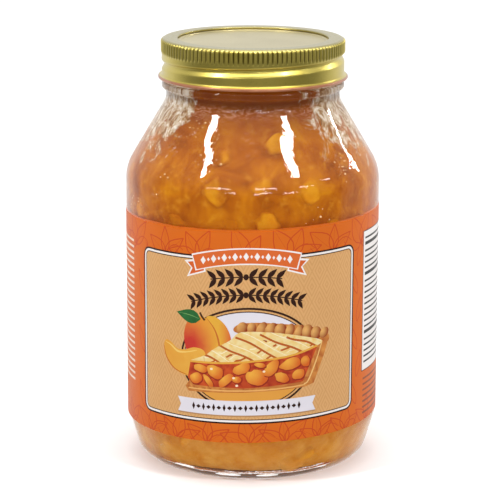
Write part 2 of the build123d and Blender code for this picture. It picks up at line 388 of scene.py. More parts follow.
WET = {"Roughness": 0.6, "Specular_IOR_Level": 0.0, "Subsurface_Weight": 0.12, "Subsurface_Scale": 0.003,
       "Subsurface_Radius": (1.0, 0.45, 0.12)}
OFF, ON = (0, 0, 0, 1), (1, 1, 1, 1)


def gel_material():
    """Gel behind the glass, with whitish crinkled patches at the neck's sides where air lies between, and a
    painted dark ring of shade under the glass bead.
    """
    gel = Material("fruit_gel").set(**WET)
    across, deep, height = gel.parts(gel.place())
    reach = gel.math("SQRT", gel.math("MULTIPLY_ADD", deep, deep, gel.math("MULTIPLY", across, across)))
    aside = gel.span(gel.math("DIVIDE", gel.math("ABSOLUTE", across), reach), 0.52, 0.86)
    high = gel.span(height, 0.112, 0.138)
    broken = gel.noise(120.0, detail=6, rough=0.72, distortion=1.0)
    ragged = gel.math("MULTIPLY_ADD", broken, 2.6, gel.math("MULTIPLY", aside, high))
    patch = gel.span(ragged, 1.72, 2.02, 0.0, 0.88)
    crinkle = gel.noise(260.0, detail=5, rough=0.7, distortion=1.8, where=gel.place(1.0, 1.0, 0.45))
    foil = gel.ramp(crinkle, (0.36, "6A3D1A"), (0.46, "A98659"), (0.55, "D6C6AE"), (0.68, "F6F1E8"))
    froth = gel.noise(330.0, detail=5, rough=0.72, distortion=1.2, where=gel.place(1.0, 1.0, 2.4))
    sway = gel.math("MULTIPLY_ADD", gel.noise(140.0, detail=3), 0.0016, height)
    collar = gel.ramp(sway, (0.1375, OFF), (0.1395, ON), (0.1436, ON), (0.1442, OFF))
    # painted shade: a thin dark ring at the underside of the glass bead, standing in for the dark refraction
    # seen there
    bead_shade_line = gel.ramp(sway, (0.1442, OFF), (0.1448, ON), (0.1456, ON), (0.1460, OFF))
    dots = gel.math("MULTIPLY", collar, gel.span(froth, 0.50, 0.66, 0.0, 0.85))
    dotted = gel.mix(dots, gel_colours(gel), "DDA386")
    frothy = gel.mix(patch, dotted, foil)
    # the painted dark ring of shade under the bead is laid over everything else
    gel.link(gel.mix(gel.math("MULTIPLY", bead_shade_line, 0.85), frothy, "3A1A08"), "Base Color")
    return gel.data


def peach_material():
    """Fruit flesh, yellower than the gel, that fades into the gel's own colour where the gel covers it."""
    peach = Material("peach_flesh").set(**WET)
    patches = peach.noise(120.0, detail=2)
    flesh = peach.ramp(peach.noise(380.0, detail=4, rough=0.65), (0.35, "C47E08"), (0.65, "DA9C1C"))
    warmer = peach.mix(peach.span(patches, 0.40, 0.70), flesh, "C87A0E")
    amount = peach.math("MULTIPLY", peach.attribute("show"), peach.span(patches, 0.30, 0.60, 0.50, 0.95))
    peach.link(peach.mix(amount, gel_colours(peach), warmer), "Base Color")
    return peach.data


def glint_material():
    """Painted highlight: the pale, faintly glowing face of an air pocket behind glass, standing in for a
    gleam.
    """
    # painted highlight: the faint emission makes these pockets glow without a lamp
    return mottled("painted_heel_glint", 300.0, "E9E6E0", "FFFFFF", stops=(0.35, 0.65), Roughness=0.3,
                   Emission_Color=(1, 1, 1, 1), Emission_Strength=0.25).data


def bubble_material():
    """Small air bubbles caught against the glass."""
    return mottled("air_bubble", 600.0, "B87426", "EFCF96", stops=(0.35, 0.65), Roughness=0.12,
                   Specular_IOR_Level=0.9).data


def gold_material():
    """Gold-lacquered tin plate: brushed grain, a duller, darker top painted to stand in for the light it
    mirrors, and painted shade in the hollows between the knurl's ridges.
    """
    gold = Material("gold_lacquer").set(Metallic=1.0, Coat_Weight=0.3, Coat_Roughness=0.08)
    grain = gold.noise(900.0, detail=2, where=gold.place(1.0, 1.0, 14.0))
    lacquer = gold.ramp(gold.noise(60.0, detail=2), (0.3, "C9B552"), (0.7, "D6C566"))
    # painted shade: toward the top the lacquer turns to a duller, darker tone that stands in for the light
    # the top mirrors
    top_shade_share = gold.span(gold.parts(gold.place())[2], (TOP - 0.9) * MM, (TOP - 0.2) * MM)
    satin = gold.mix(top_shade_share, lacquer, "A99F6A")
    # painted shade: the hollows between the knurl's ridges are darkened toward 4E4413 by the share stored on
    # the band
    gold.link(gold.mix(gold.attribute("valley"), satin, "4E4413"), "Base Color")
    gold.link(gold.span(grain, 0.3, 0.7, 0.27, 0.38), "Roughness")
    gold.bump(grain, 0.05, 0.0001)
    return gold.data


def salmon_material():
    """The inside lacquer, which shows on the rolled edge."""
    return mottled("inside_lacquer", 160.0, "9C6040", "AE7452", Roughness=0.35, Metallic=0.35,
                   Coat_Weight=0.4, Coat_Roughness=0.15).data


def panel_material():
    """The flat lid's pale gold satin lacquer."""
    panel = mottled("lid_lacquer", 45.0, "B4A87A", "C1B588", detail=3, Metallic=0.85, Coat_Weight=0.2,
                    Coat_Roughness=0.2)
    fine = panel.noise(1500.0, detail=2)
    panel.link(panel.span(fine, 0.3, 0.7, 0.30, 0.40), "Roughness")
    panel.bump(fine, 0.04, 0.0001)
    return panel.data


def seal_material():
    return mottled("seal_compound", 500.0, "8C4636", "9C5544", Roughness=0.55).data


PAPER_WHITE = 0.77                  # how much light the bare paper gives back


@functools.cache
def printed(code, woven=0.0):
    """Ink on the paper; woven is 1 on the ground that carries the panel's diamonds."""
    return tuple(PAPER_WHITE * channel for channel in srgb(code)[:3]) + (woven,)


def paper_material():
    """Coated label paper: printed inks, woven diamonds on the panel, a soft mottle and a faint gloss."""
    paper = Material("label_paper").set(Specular_IOR_Level=0.2)
    ink = paper.node("ShaderNodeAttribute", attribute_name="ink").outputs
    sheet = paper.parts(paper.attribute("sheet", "Vector"))
    shares = []
    for place, size in ((sheet[0], DIAMOND_WIDE), (sheet[1], DIAMOND_TALL)):
        step = paper.math("PINGPONG", paper.math("ADD", place, 1000 * size), 0.5 * size)
        shares.append(paper.math("DIVIDE", step, 0.5 * size))
    from_edge = paper.math("ABSOLUTE", paper.math("SUBTRACT", paper.math("ADD", *shares), 1.0))
    ripple = paper.math("COSINE", paper.math("MULTIPLY", from_edge, 2 * math.pi * DIAMOND_RINGS))
    weave = paper.math("MULTIPLY", paper.span(ripple, -0.2, 0.9, 0.0, 0.55), ink["Alpha"])
    ground = paper.mix(weave, ink["Color"], printed("CC9458"))
    cloud = paper.span(paper.noise(70.0, detail=3), 0.3, 0.7, 0.0, 0.5)
    paper.link(paper.mix(cloud, ground, (0.93, 0.91, 0.88, 1), "MULTIPLY"), "Base Color")
    fibre = paper.noise(1600.0, detail=2)
    paper.link(paper.span(fibre, 0.3, 0.7, 0.36, 0.46), "Roughness")
    paper.bump(fibre, 0.05, 0.0001)
    return paper.data


def floor_material():
    return mottled("pale_floor", 30.0, (0.93, 0.93, 0.93, 1), (0.95, 0.95, 0.95, 1), Roughness=0.7).data


# ---------------------------------------------------------------- glass
def build_glass():
    def threads(radius, height, azimuth, row):
        rise = 0.0
        if BEAD_LOW + BEAD_HEIGHT < height < LIP - LIP_ROUND and abs(radius - FINISH) < 0.01:
            for middle, size in helix_lift(azimuth, THREAD_FRONT, THREAD_TURNS, THREAD_TOP_ANGLE):
                off = abs(height - middle)
                if off < THREAD_ROUND:
                    crest = THREAD_CREST - THREAD_ROUND + math.sqrt(THREAD_ROUND ** 2 - off ** 2)
                    rise = max(rise, (crest - radius) * size)
        return radius + rise, height

    outline = base_outline() + heel_outline()
    outline += along((BODY, heel_outline()[-1][1] + 1), (BODY, SHOULDER_START), 40)
    outline += shoulder_outline(BODY, WAIST, SHOULDER_ROUND, WAIST_ROUND)
    outline += neck_outside()
    outline += along((MOUTH, LIP - LIP_ROUND - 0.3), (MOUTH, FILL_TOP), 8)
    outline += [(MOUTH, FILL_TOP), (MOUTH * 0.6, FILL_TOP), (0, FILL_TOP)]
    glass = lathe("glass_jar_body", outline, glass_material(), segments=256, shape=threads)
    glass.visible_shadow = False
    glass.visible_diffuse = False
    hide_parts("glass_jar")
    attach(glass, "jar")


# ---------------------------------------------------------------- contents
WALL_LINE = inside_outline(0)


def wall_radius(height):
    """Inside radius of the glass at this height."""
    for (r0, z0), (r1, z1) in zip(WALL_LINE, WALL_LINE[1:]):
        if z0 <= height <= z1 and z1 > z0:
            return r0 + (r1 - r0) * (height - z0) / (z1 - z0)
    return MOUTH if height > WALL_LINE[-1][1] else 0.0


def gel_cover(place):
    """Thickness of clear gel at the glass in front of the cloudy gel, at this place."""
    return 0.9 - 0.55 * clamp(noise.fractal(place * 0.09, 0.6, 2.0, 4), -1.0)


def build_gel():
    def lumps(radius, height, azimuth, row):
        floor_gap = 1.5 * clamp((12.0 - height) / 8.0)
        lift = floor_gap if height < 8.0 else 0.0
        return radius - gel_cover(Vector(polar(radius, azimuth, height))) - floor_gap, height + lift

    outline = inside_outline(0.3)
    top = FILL_TOP - 0.05
    outline += along((MOUTH - 0.3, outline[-1][1] + 0.5), (MOUTH - 0.3, top), 8)
    outline += [(MOUTH - 0.4, top), (MOUTH * 0.8, top - 0.5), (MOUTH * 0.4, top - 0.2), (0, top - 0.3)]
    gel = lathe("peach_gel", outline, gel_material(), segments=240, shape=lumps, sharp_angle=60)
    gel.visible_shadow = False
    gel.visible_diffuse = False
    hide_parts("filling")
    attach(gel, "jar")


def peach_lump(vertices, faces, shows, centre, size, seed):
    """One soft, uneven piece of fruit, added to the lists, with how far it shows through the gel."""
    rng = random.Random(seed)
    angle = rng.uniform(0, math.pi)
    turn = Matrix.Rotation(angle, 3, Vector((rng.random(), rng.random(), rng.random() + 0.1)))
    stretch = Vector((rng.uniform(0.75, 1.2), rng.uniform(0.6, 0.95), rng.uniform(0.75, 1.1)))
    offset = Vector((seed * 3.1, seed * 1.7, seed * 0.9))

    def flesh(point):
        p = point.normalized()
        p = p * (0.62 + 0.38 / max(abs(p.x), abs(p.y), abs(p.z)) * 0.85)
        p = p * (1 + 0.16 * noise.noise(p * 1.6 + offset))
        p = turn @ (p * stretch) * (0.5 * size) + centre
        wall, reach = wall_radius(p.z), math.hypot(p.x, p.y)
        shows.append(ease((gel_cover(p) - (wall - reach)) / 1.6))
        pull = min(1.0, (wall - 0.25) / reach)
        return p.x * pull, p.y * pull, p.z

    add_ball(vertices, faces, 4, flesh)


def build_peaches():
    rng = random.Random(11)
    vertices, faces, shows = [], [], []
    seed = 0
    for row in range(10):
        height = 14.0 + row * 12.2
        count = int(2 * math.pi * wall_radius(height) / 18.0)
        for index in range(count):
            seed += 1
            azimuth = 2 * math.pi * (index + 0.5 * (row % 2) + rng.uniform(-0.25, 0.25)) / count
            size = rng.uniform(10.0, 19.0)
            z = height + rng.uniform(-3.0, 3.0)
            reach = wall_radius(z) - 0.46 * size + rng.uniform(-1.6, 0.9)
            if z < 110 or abs(math.sin(azimuth)) < 0.5:
                peach_lump(vertices, faces, shows, Vector(polar(reach, azimuth, z)), size, seed)
    peaches = new_object("peach_lumps", vertices, faces, peach_material(), sharp_angle=180)
    add_values(peaches, "show", shows)
    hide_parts("peach_pieces")
    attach(peaches, "jar")


# radius at which the pale air pockets of painted highlight lie, and radius on which their length is measured
HEEL_GLINT, HEEL_GLINT_RUN = 42.4, 42.0


def build_heel_glints():
    """Thin lens-shaped air pockets, pale and faintly glowing: painted highlights in the corner between the
    gel and the heel of the glass.
    """
    vertices, faces = [], []
    for azimuth, length, tall, height in ((-36, 9.0, 0.7, 4.4), (-12, 10.0, 0.9, 3.1), (8, 8.5, 1.0, 3.0),
                                          (38, 5.0, 0.5, 4.0), (105, 8.0, 0.8, 3.2), (160, 9.0, 0.9, 3.1),
                                          (215, 7.0, 0.8, 3.3), (262, 8.0, 0.7, 3.6)):
        def lens(point):
            x, y, z = point
            swell = 1 + 0.25 * noise.noise(Vector((3 * x, 3 * y, azimuth)))
            turn = math.radians(azimuth) + 0.5 * length * x / HEEL_GLINT_RUN
            return polar(HEEL_GLINT + 0.35 * y, turn, height + 0.5 * tall * z * swell)

        add_ball(vertices, faces, 3, lens)
    air = new_object("heel_glints", vertices, faces, glint_material(), sharp_angle=180)
    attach(air, "jar")


def build_bubbles():
    """Clusters of small bubbles against the inside of the glass."""
    rng = random.Random(21)
    vertices, faces = [], []
    for cluster in range(46):
        middle = rng.uniform(-math.pi, math.pi)
        height = rng.choice((rng.uniform(100, 134), rng.uniform(100, 134), rng.uniform(9, 100)))
        for index in range(rng.randint(3, 14)):
            size = rng.uniform(0.16, 0.55) * rng.uniform(0.5, 1.2)
            z = height + rng.gauss(0, 2.2)
            azimuth = middle + rng.gauss(0, 2.6) / wall_radius(height)
            centre = Vector(polar(wall_radius(z) - size - 0.06, azimuth, z))
            squash = Vector((size, size, 0.85 * size))
            add_ball(vertices, faces, 2, lambda point: centre + point * squash)
    bubbles = new_object("air_bubbles", vertices, faces, bubble_material(), sharp_angle=180)
    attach(bubbles, "jar")


# ---------------------------------------------------------------- closure
def build_band():
    groove_front = THREAD_FRONT - math.sqrt(
        (THREAD_ROUND + GROOVE_ROUND) ** 2 - (GROOVE_REACH + GROOVE_ROUND - THREAD_CREST + THREAD_ROUND) ** 2
    ) - THREAD_PLAY
    corner_low = TOP - BAND_CORNER
    flat = BAND - BAND_CORNER
    knurl_low = corner_low - KNURL_HEIGHT
    hem_centre = (BAND_OPENING + HEM, TOP - HEM)

    outside = arc((CURL - CURL_ROUND, SKIRT + CURL_ROUND), CURL_ROUND - 0.001, 190, 245, 12)
    salmon_count = len(outside) - 1
    outside += [(BAND + 0.40, SKIRT + 1.30), (BAND + 0.17, SKIRT + 1.42), (BAND + 0.06, SKIRT + 1.60)]
    outside += along((BAND + 0.01, SKIRT + 1.85), (BAND, knurl_low - 1.2), 22)
    outside += along((BAND, knurl_low - 1.2), (BAND, corner_low), 10)
    outside += arc((flat, corner_low), BAND_CORNER, 0, 90, 9)
    outside += along((flat - 0.2, TOP), (hem_centre[0], TOP), 3)
    outside += arc(hem_centre, HEM, 90, 230, 8)
    outer_rows = len(outside)
    inner = BAND - SHEET
    outline = outside + [(flat, TOP - SHEET)]
    outline += arc((flat, corner_low), BAND_CORNER - SHEET, 80, -80, 4)
    outline += along((inner, corner_low - 0.3), (inner, SKIRT + 1.2), 26)

    def dent(height, azimuth, above, below, depth):
        """Depth here of the rolled groove, which reaches this far above and below its middle."""
        deepest = 0.0
        for middle, size in helix_lift(azimuth, groove_front, GROOVE_TURNS, GROOVE_TOP_ANGLE):
            off = (height - middle) / (above if height > middle else -below)
            if off < 1:
                deepest = max(deepest, size * depth * (0.5 + 0.5 * math.cos(math.pi * off)))
        return deepest

    def knurl_ease(height):
        """How fully the ridges stand at this height; they fade out below and run into the top corner."""
        return ease((height - knurl_low) / 0.7) * ease((TOP - 0.22 - height) / 0.5)

    def form(radius, height, azimuth, row):
        if row >= outer_rows:
            if SKIRT + 1.45 < height < corner_low:
                radius -= dent(height, azimuth, *GROOVE_INSIDE)
        elif SKIRT + 1.45 < height < TOP - 0.02 and radius > flat:
            lobe = abs(math.sin(0.5 * KNURLS * azimuth))
            ridge = KNURL_STAND - 0.05 - (KNURL_DEPTH + 0.10) * (1 - lobe ** 1.15)
            radius += knurl_ease(height) * ridge - dent(height, azimuth, *GROOVE_OUTSIDE)
        return radius, height

    band = lathe("gold_screw_band", outline, gold_material(), segments=BAND_SEGMENTS, closed=True, shape=form,
                 sharp_angle=50)
    band.data.materials.append(salmon_material())
    for index, polygon in enumerate(band.data.polygons):
        row = index // BAND_SEGMENTS
        polygon.material_index = int(row < salmon_count or row >= outer_rows)
    # painted shade for the knurl: a share for every point, highest in the hollows between ridges, by which
    # the gold material darkens
    hollow_shade = []
    for row, (radius, height) in enumerate(outline):
        deepest = knurl_ease(height) if row < outer_rows and radius > flat else 0.0
        for index in range(BAND_SEGMENTS):
            lobe = abs(math.sin(math.pi * KNURLS * index / BAND_SEGMENTS))
            hollow_shade.append(deepest * max(0.0, 1 - 1.7 * lobe))
    add_values(band, "valley", hollow_shade)
    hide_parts("screw_band")
    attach(band, "band")


def build_disc():
    step_round = 0.14
    top = DISC_TOP
    panel = top - PANEL_STEP
    outline = [(0, panel), (10, panel), (20, panel), (PANEL - 0.6, panel)]
    outline += arc((PANEL - 0.25, panel + step_round), step_round, -90, 80, 6)
    outline += arc((PANEL + 0.25, top - step_round), step_round, 170, -80, 6)
    outline += [(30, top), (32, top)]
    outline += arc((DISC - 0.3, top - 0.3), 0.3, 90, -90, 6)
    outline += [(DISC, top - DISC_SKIRT), (DISC - DISC_SHEET, top - DISC_SKIRT),
                (DISC - DISC_SHEET, top - DISC_SHEET), (PANEL + DISC_SHEET, top - DISC_SHEET),
                (PANEL + DISC_SHEET, panel - DISC_SHEET), (20, panel - DISC_SHEET), (0, panel - DISC_SHEET)]
    disc = lathe("flat_lid", outline, panel_material(), segments=256)
    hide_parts("lid_disc")
    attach(disc, "flat_lid")


def dress_seal():
    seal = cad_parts["sealing_ring"]
    seal.data.materials.clear()
    seal.data.materials.append(seal_material())


# ---------------------------------------------------------------- label outlines
# Printed shapes are drawn on the flat sheet: across in mm from the front, up in mm from the table.
def tipped(middle, x, y, turn):
    """A place given from middle, tipped about it by turn degrees."""
    run, rise = math.cos(math.radians(turn)), math.sin(math.radians(turn))
    return (middle[0] + x * run - y * rise, middle[1] + x * rise + y * run)


def ellipse(middle, half_width, half_height, steps, turn=0.0):
    """Closed ellipse; turn tips it, in degrees."""
    angles = [2 * math.pi * index / steps for index in range(steps)]
    return [tipped(middle, half_width * math.cos(a), half_height * math.sin(a), turn) for a in angles]


def box(left, low, right, high):
    return [(left, low), (right, low), (right, high), (left, high)]


def diamond(across, up, half_width, half_height):
    return [(across - half_width, up), (across, up + half_height), (across + half_width, up),
            (across, up - half_height)]


def rounded_box(left, low, right, high, corner):
    points = []
    for x, y, start in ((right - corner, high - corner, 0), (left + corner, high - corner, 90),
                        (left + corner, low + corner, 180), (right - corner, low + corner, 270)):
        points += arc((x, y), corner, start, 90, 6)
    return points


def soft_line(points, closed=False, steps=6):
    """Smooth line through a few points."""
    count = len(points)
    line = []
    for index in range(count if closed else count - 1):
        p0, p1, p2, p3 = (
            points[(index + k) % count] if closed else points[clamp(index + k, 0, count - 1)]
            for k in (-1, 0, 1, 2))
        for step in range(steps):
            t = step / steps
            line.append(tuple(
                0.5 * (2 * b + (c - a) * t + (2 * a - 5 * b + 4 * c - d) * t ** 2
                       + (3 * b - a - 3 * c + d) * t ** 3)
                for a, b, c, d in zip(p0, p1, p2, p3)))
    return line if closed else line + [points[-1]]


def stroke(line, width, taper=0.0):
    """Outline of a line drawn with a pen; taper narrows its ends by this share."""
    left, right = [], []
    last = len(line) - 1
    for index, (x, y) in enumerate(line):
        before, after = line[max(0, index - 1)], line[min(last, index + 1)]
        run, rise = after[0] - before[0], after[1] - before[1]
        off = 0.5 * width * (1 - taper * abs(2 * index / last - 1)) / (math.hypot(run, rise) or 1.0)
        left.append((x - rise * off, y + run * off))
        right.append((x + rise * off, y - run * off))
    return left + right[::-1]


def bow(left, right, middle_rise, steps=20):
    """Arched line from left to right that rises by middle_rise at its middle."""
    line = along(left, right, steps) + [right]
    return [(x, y + middle_rise * (1 - (2 * index / steps - 1) ** 2)) for index, (x, y) in enumerate(line)]


def leaf_sides(base, length, width, turn):
    """The two curved sides of a pointed leaf, from its base to its tip; turn in degrees."""
    sides = []
    for side in (1, -1):
        line = []
        for index in range(7):
            share = index / 6
            bulge = 0.5 * width * math.sin(math.pi * share ** 0.8) * (1 - 0.25 * share)
            line.append(tipped(base, length * share, side * bulge, turn))
        sides.append(line)
    return sides


# ---------------------------------------------------------------- inks
# An ink is a hexadecimal code, a printed colour, or a function that gives one for a place on the sheet.
def pigment(ink):
    return printed(ink) if isinstance(ink, str) else ink


def blend(first, second, share):
    share = clamp(share)
    return tuple(a + (b - a) * share for a, b in zip(pigment(first), pigment(second)))


def soft_noise(across, up, scale, seed=0.0):
    return noise.fractal(Vector((across * scale, up * scale, seed)), 0.7, 2.0, 3)


def clouded(first, second, share, swing, scale, seed):
    """Ink that drifts to both sides of this share between two inks."""
    return lambda across, up: blend(first, second, share + swing * soft_noise(across, up, scale, seed))


def glowing(first, second, x, y, wide, tall, share, power=1.0):
    """Ink that turns from first at a place on the picture toward second, over wide and tall."""
    def ink(across, up):
        out = math.hypot((across - PICTURE - x) / wide, (up - y) / tall)
        return blend(first, second, share * out ** power)
    return ink


class Print:
    """Printed shapes in the order in which they are laid down, on a sheet cut along their edges."""

    def __init__(self, paper):
        self.paper = paper
        self.shift = 0.0            # where across = 0 of the shapes lies on the sheet
        self.shapes = []

    def add(self, outline, ink, within=None):
        """Lays an ink inside an outline, and inside a second one where that is given."""
        areas = [np.array([(self.shift + x, y) for x, y in area]) for area in (outline, within) if area]
        self.shapes.append((areas, pigment(ink)))

    def line(self, points, width, ink, taper=0.0, within=None):
        self.add(stroke(points, width, taper), ink, within)

    def curve(self, points, width, ink, taper=0.0):
        self.line(soft_line(points), width, ink, taper)

    def nest(self, shape, rings):
        """Shapes inside each other; each ring is the width that stays in sight and its ink."""
        inset = 0.0
        for width, ink in rings:
            self.add(shape(inset), ink)
            inset += width

    def cut(self, columns, rows):
        """Triangles of the sheet, cut along every outline and along a grid that lets it curve."""
        points, edges = [], []

        def chain(outline, closed):
            start = len(points)
            points.extend(Vector((float(x), float(y))) for x, y in outline)
            count = len(outline)
            edges.extend((start + i, start + (i + 1) % count) for i in range(count if closed else count - 1))

        for across in columns:
            chain([(across, rows[0]), (across, rows[-1])], False)
        for up in rows:
            chain([(columns[0], up), (columns[-1], up)], False)
        for areas, ink in self.shapes:
            chain(areas[0], True)
        cut = geometry.delaunay_2d_cdt(points, edges, [], 0, 1e-4)
        return np.array([tuple(p) for p in cut[0]]), [list(face) for face in cut[2]]

    def inks(self, places, faces):
        """Colour of every corner of every triangle; the last shape over a triangle prints it."""
        corners = places[np.array(faces)]
        middles = corners.mean(axis=1)
        top = np.full(len(faces), -1)
        for number, (areas, ink) in enumerate(self.shapes):
            top[np.all([covers(area, middles) for area in areas], axis=0)] = number
        colours = []
        for number, triangle in zip(top, corners):
            ink = self.paper if number < 0 else self.shapes[number][1]
            colours += [ink(across, up) if callable(ink) else ink for across, up in triangle]
        return colours


def covers(outline, places):
    """Which places lie inside a closed outline."""
    low, high = outline.min(axis=0), outline.max(axis=0)
    inside = np.zeros(len(places), bool)
    near = np.flatnonzero(((places >= low) & (places <= high)).all(axis=1))
    x, y = places[near, 0], places[near, 1]
    odd = np.zeros(len(near), bool)
    for (x0, y0), (x1, y1) in zip(outline, np.roll(outline, -1, axis=0)):
        if y0 != y1:
            odd ^= ((y0 > y) != (y1 > y)) & (x < (x1 - x0) * (y - y0) / (y1 - y0) + x0)
    inside[near] = odd
    return inside


# ---------------------------------------------------------------- label artwork
ORANGE = printed("DE6A06")
ORANGE_LINE = "CC480C"
TAN = printed("E0AC70", woven=1.0)
DARK = "36180E"
WHITE = "F6F0EE"
LILAC = "E6E2EC"

PICTURE = -2.3                      # the picture's centre line, across from the front
PANEL_HALF, PANEL_LOW, PANEL_HIGH, PANEL_CORNER = 46.2, 25.1, 90.1, 3.4


def print_sprig(art, across, up, size, rng):
    """Line drawing of three broad leaves and two curling stems."""
    lean = rng.uniform(-30, 30)
    for turn in (35, 88, 142):
        length = size * rng.uniform(7.5, 10.5)
        sides = leaf_sides((across, up), length, rng.uniform(0.42, 0.62) * length, turn + lean)
        for side in sides:
            art.line(side, 0.42, ORANGE_LINE)
        art.line([sides[0][0], sides[0][-1]], 0.28, ORANGE_LINE, taper=0.6)
    for side in (-1, 1):
        reach = size * rng.uniform(6.0, 9.0)
        art.line(bow((across, up), (across + side * reach, up + 0.25 * reach), side * 0.32 * reach, 6), 0.40,
                 ORANGE_LINE, taper=0.4)


def print_botanicals(art, low, high):
    """Tone-on-tone line drawings of leaves along the orange borders and over the back."""
    rng = random.Random(5)
    edge = PICTURE + PANEL_HALF + 1.5
    for middle, size in ((high - 10.5, 1.3), (low - 0.6, 1.15)):
        across = -196.0
        while across < 165.0:
            print_sprig(art, across, middle, size, rng)
            across += size * rng.uniform(11.0, 15.0)
    for row in range(4):
        for start, end in ((-186.0, -100.0), (96.0, 160.0)):
            across = start + 9.0 * (row % 2)
            while across < end:
                print_sprig(art, across, low + 14.5 + 14.5 * row, 1.3, rng)
                across += rng.uniform(17.0, 21.0)
    for across in (edge + 1.2, -edge - 3.4):
        for index in range(6):
            turn = 75 if index % 2 else 110
            for side in leaf_sides((across, low + 8 + 11 * index), 11.0, 3.2, turn):
                art.line(side, 0.34, ORANGE_LINE)


def print_side_boxes(art):
    """White box of plain rules on the right, and white rules on the left."""
    left, right, low, high = 51.0, 84.0, 38.0, 93.0
    for grow, ink in ((0.35, DARK), (0.0, WHITE)):
        art.add(box(left - grow, low - grow, right + grow, high + grow), ink)
    rng = random.Random(8)
    up = high - 2.6
    row = 0
    while up > low + 1.5:
        heavy = row in (1, 6, 16)
        end = right - (1.2 if heavy else rng.uniform(3.0, 14.0))
        art.line([(left + 1.2, up), (end, up)], 1.3 if heavy else 0.75, "2A2422")
        up -= 2.9 if heavy else 2.25
        row += 1
    for row in range(7):
        up = 34.5 - 2.3 * row
        art.line([(left + 0.8, up), (right - 2.0 - 1.7 * (row % 3), up)], 0.8, "8E4A26")
    for row in range(24):
        up = 90.0 - 2.4 * row
        art.line([(-88.0 + 2.5 * (row % 4), up), (-57.5, up)], 0.9, "F2D9C4")


# The shapes from here on are given from the picture's centre line.
def print_panel(art):
    """Tan panel with a dark, a white and a thin dark border."""
    def border(inset):
        return rounded_box(inset - PANEL_HALF, PANEL_LOW + inset, PANEL_HALF - inset, PANEL_HIGH - inset,
                           PANEL_CORNER - 0.8 * inset)

    art.nest(border, ((0.65, DARK), (0.80, WHITE), (0.35, DARK), (0.0, TAN)))


def print_medallion(art):
    """Oval with a double dark line, pale above and golden below."""
    def glow(across, up):
        return blend("E4A040", LILAC, (up - 46.0) / 10.0)

    art.nest(lambda inset: ellipse((0.6, 50.3), 26.6 - inset, 20.2 - inset, 72),
             ((0.80, DARK), (0.65, TAN), (0.40, DARK), (0.0, glow)))


def print_laurel(art):
    """Two arched rows of dark leaves in the place of a title."""
    for middle, rise, half, length in ((82.2, 0.0058, 13.5, 4.9), (75.3, 0.0074, 21.5, 4.2)):
        stem = [(x, middle - rise * x ** 2) for x in (half * (i / 12 - 1) for i in range(25))]
        art.line(stem, 0.45, DARK)
        pairs = int(half / (0.62 * length))
        for index in range(pairs):
            across = half * (index + 0.35) / pairs
            up = middle - rise * across ** 2
            slope = math.degrees(math.atan(2 * rise * across))
            for side in (-1, 1):
                for turn in (46, -46):
                    heading = turn - slope if side > 0 else 180 - turn + slope
                    lobes = leaf_sides((side * across, up), length, 0.44 * length, heading)
                    art.add(lobes[0] + lobes[1][::-1], DARK)
        art.add(ellipse((0, middle), 1.0, 1.2, 16), DARK)


def print_banner(art):
    """Arched orange ribbon with a white edge, folded tails and a row of small white diamonds."""
    tail = ((18.0, 88.6), (24.3, 87.6), (21.4, 85.0), (23.2, 81.4), (15.4, 83.9), (15.8, 86.0))
    inner = ((18.0, 87.9), (22.9, 87.1), (20.8, 84.9), (22.2, 82.3), (16.1, 84.3), (16.3, 86.0))
    for side in (-1, 1):
        for outline, ink in ((tail, WHITE), (inner, "DB6327")):
            art.add([(side * x, y) for x, y in outline], ink)
    for grow, ink in ((0.0, WHITE), (0.5, "E06A2A")):
        half = 21.2 - grow
        upper = bow((-half, 90.3 - grow), (half, 90.3 - grow), 3.0)
        lower = bow((half - 1.6, 84.0 + grow), (1.6 - half, 84.0 + grow), 2.9)
        art.add(upper + lower, ink)
    for index in range(-8, 9):
        across = 2.05 * index
        size = 1.05 if index % 2 == 0 else 0.5
        art.add(diamond(across, 90.0 - 0.0066 * across ** 2, size, 1.5 * size), WHITE)


